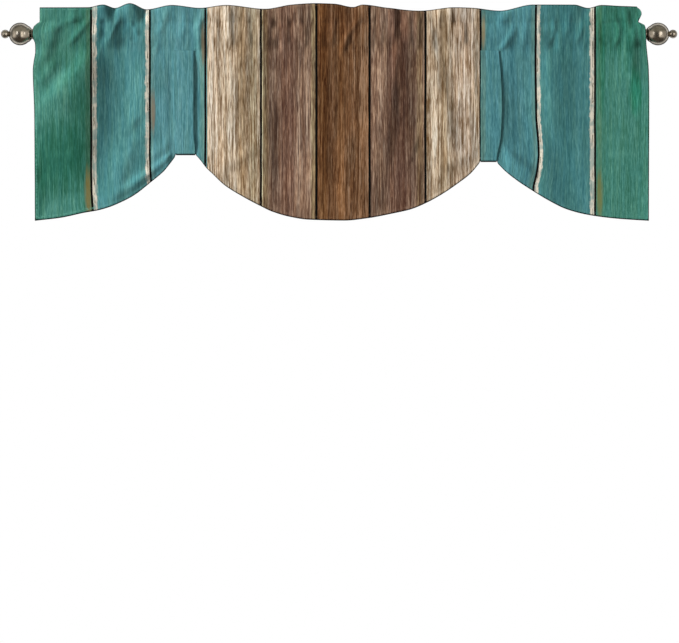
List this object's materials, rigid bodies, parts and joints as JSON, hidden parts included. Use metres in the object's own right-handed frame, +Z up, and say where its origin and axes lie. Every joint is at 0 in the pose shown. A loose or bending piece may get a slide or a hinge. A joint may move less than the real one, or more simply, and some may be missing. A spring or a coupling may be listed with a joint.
{
  "type": "tie-up valance on a curtain rod",
  "caption": "Tie-up valance with scalloped lower edge, strap ties, ruffled header and rod pocket, hung on a curtain rod with ball finials.",
  "frame": {"origin": "on the rod's axis, half way between the two finials", "axes": "+X along the rod to the right as seen from the room, +Y towards the wall, +Z up"},
  "size_m": [1.488, 0.0498, 0.4793],
  "materials": {
    "printed_cloth": "soft plain-woven polyester with a printed plank pattern in green, teal, tan and brown, slight sheen",
    "aged_nickel": "aged nickel, smooth, warm grey with darker grooves"
  },
  "bodies": {
    "root": {"valance": "printed_cloth", "tie_left": "printed_cloth", "tie_right": "printed_cloth", "rod": "aged_nickel", "finial_left": "aged_nickel", "finial_right": "aged_nickel"}
  },
  "joints": []
}
